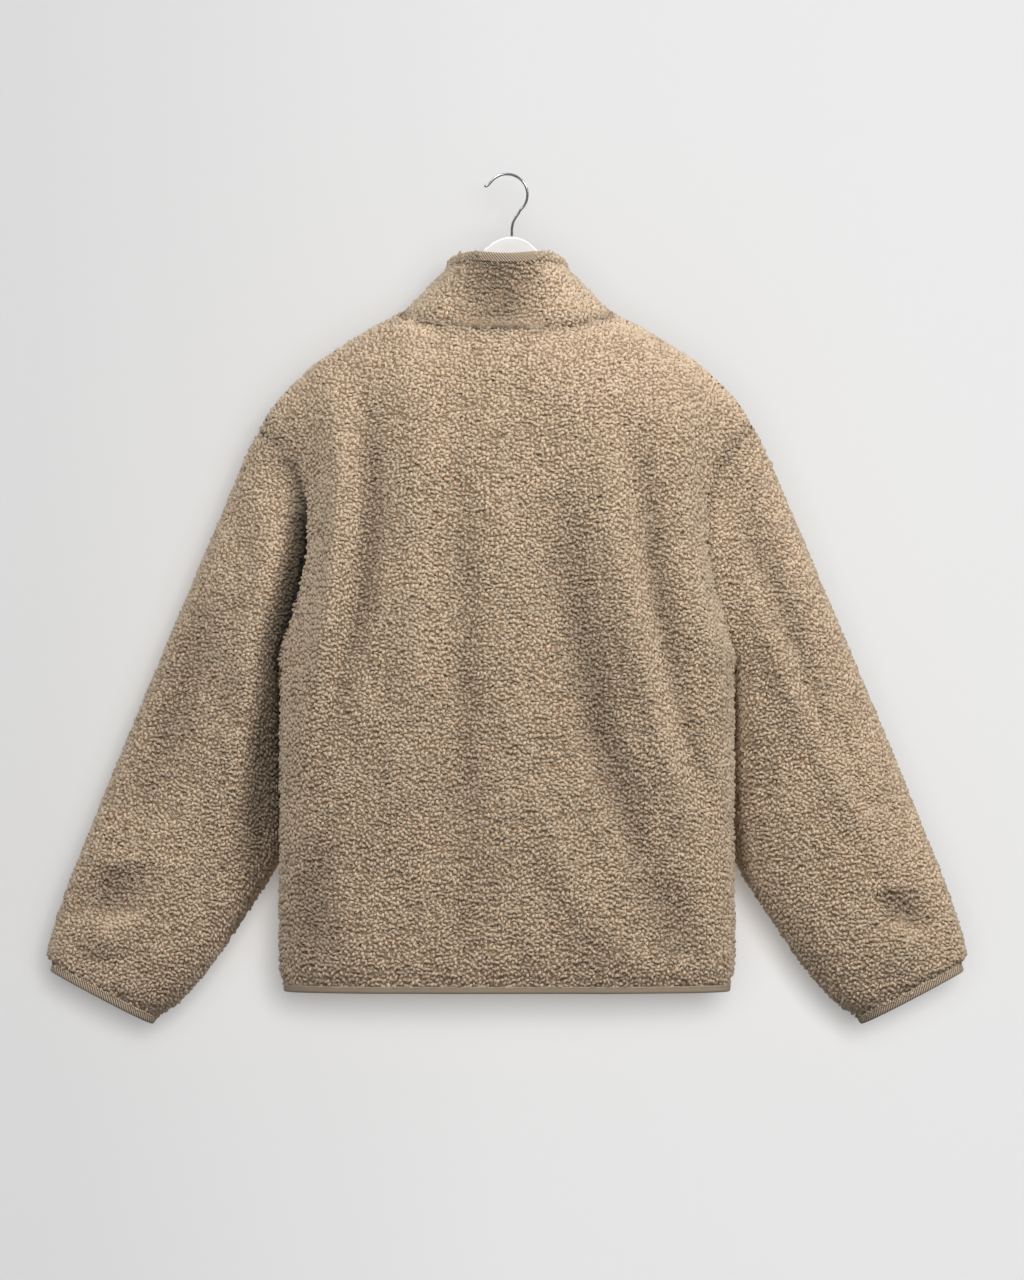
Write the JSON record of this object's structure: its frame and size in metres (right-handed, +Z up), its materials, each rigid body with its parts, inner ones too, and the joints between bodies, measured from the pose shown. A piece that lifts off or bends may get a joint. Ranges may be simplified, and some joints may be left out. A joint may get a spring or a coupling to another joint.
{
  "type": "sherpa fleece jacket on a hanger",
  "caption": "Boxy sherpa fleece jacket with stand collar, bound edges and a full front zip, hanging closed on a white hanger with a wire hook.",
  "frame": {"origin": "under the crest of the hanger's wire hook, where a rail carries it", "axes": "+Z up, +Y out of the jacket's back, -Y out of its zipped front, +X to the wearer's left"},
  "size_m": [0.9596, 0.1721, 0.8866],
  "materials": {
    "fleece": "curly sherpa pile, matte",
    "binding": "ribbed tape, matte",
    "zip_tape": "woven tape, matte",
    "zip_plastic": "satin",
    "zip_metal": "satin",
    "hanger_white": "smooth, semi-gloss",
    "chrome": "polished"
  },
  "bodies": {
    "jacket": {"back": "fleece", "front_left": "fleece", "front_right": "fleece", "sleeve_left": "fleece", "sleeve_right": "fleece", "collar": "fleece", "collar_binding": "binding", "hem_binding": "binding", "cuff_binding_left": "binding", "cuff_binding_right": "binding", "zip_tape_left": "zip_tape", "zip_tape_right": "zip_tape", "zip_slider": "zip_metal", "zip_bottom_box": "zip_metal", "zip_chain": "zip_plastic", "hanger": "hanger_white", "hanger_hook": "chrome"},
    "pull_tab": {"zip_pull_tab": "zip_metal"}
  },
  "joints": [
    {"name": "pull_tab_swing", "type": "hinge", "parent": "jacket", "child": "pull_tab", "pos_m": [0, -0.06431, -0.14], "axis": [-1, 0, 0], "range_deg": [0, 150]}
  ]
}
